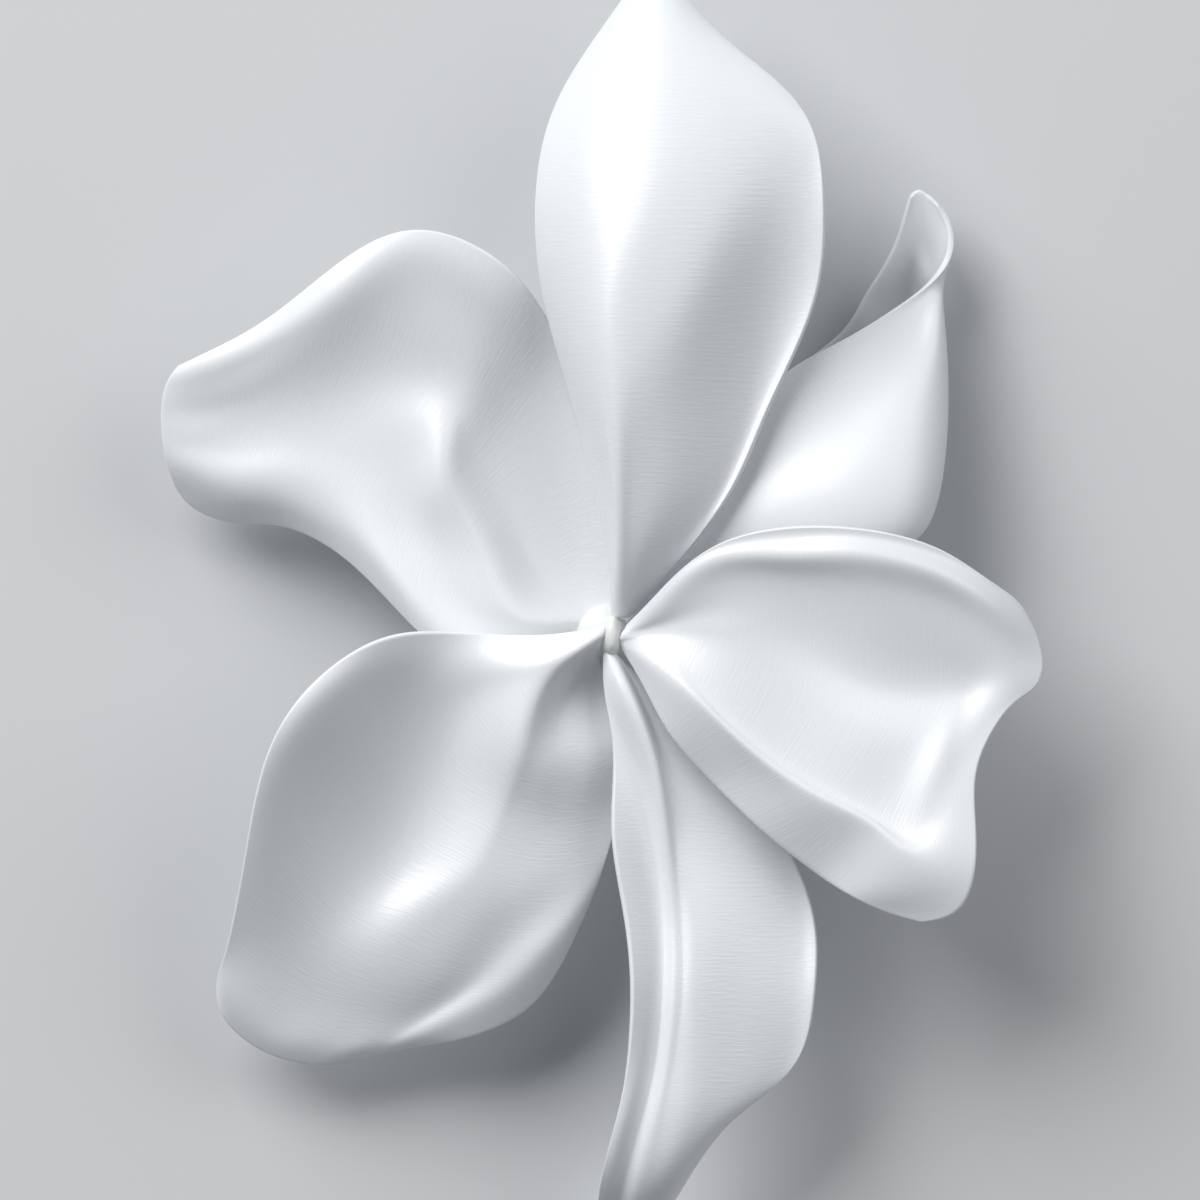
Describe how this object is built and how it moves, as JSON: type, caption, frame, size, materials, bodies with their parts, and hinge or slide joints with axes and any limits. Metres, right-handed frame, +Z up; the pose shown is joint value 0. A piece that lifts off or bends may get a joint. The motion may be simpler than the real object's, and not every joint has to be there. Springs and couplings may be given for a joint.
{
  "type": "frangipani flower",
  "caption": "White frangipani flower, picked and lying face up: broad twisting petals overlap round a narrow throat.",
  "frame": {"origin": "centre of the flat lower end of the corolla tube, on the axis of the flower, at the height of the surface it lies on", "axes": "+Z up out of the throat, +Y towards the tip of the longest petal (the top one), +X to the right as the face is looked at"},
  "size_m": [0.0631, 0.092, 0.0189],
  "materials": {
    "petal": "satin",
    "tube": "satin"
  },
  "bodies": {
    "root": {"petal_top": "petal", "petal_upper_right": "petal", "petal_right": "petal", "petal_bottom": "petal", "petal_lower_left": "petal", "petal_left": "petal", "corolla_tube": "tube"}
  },
  "joints": []
}
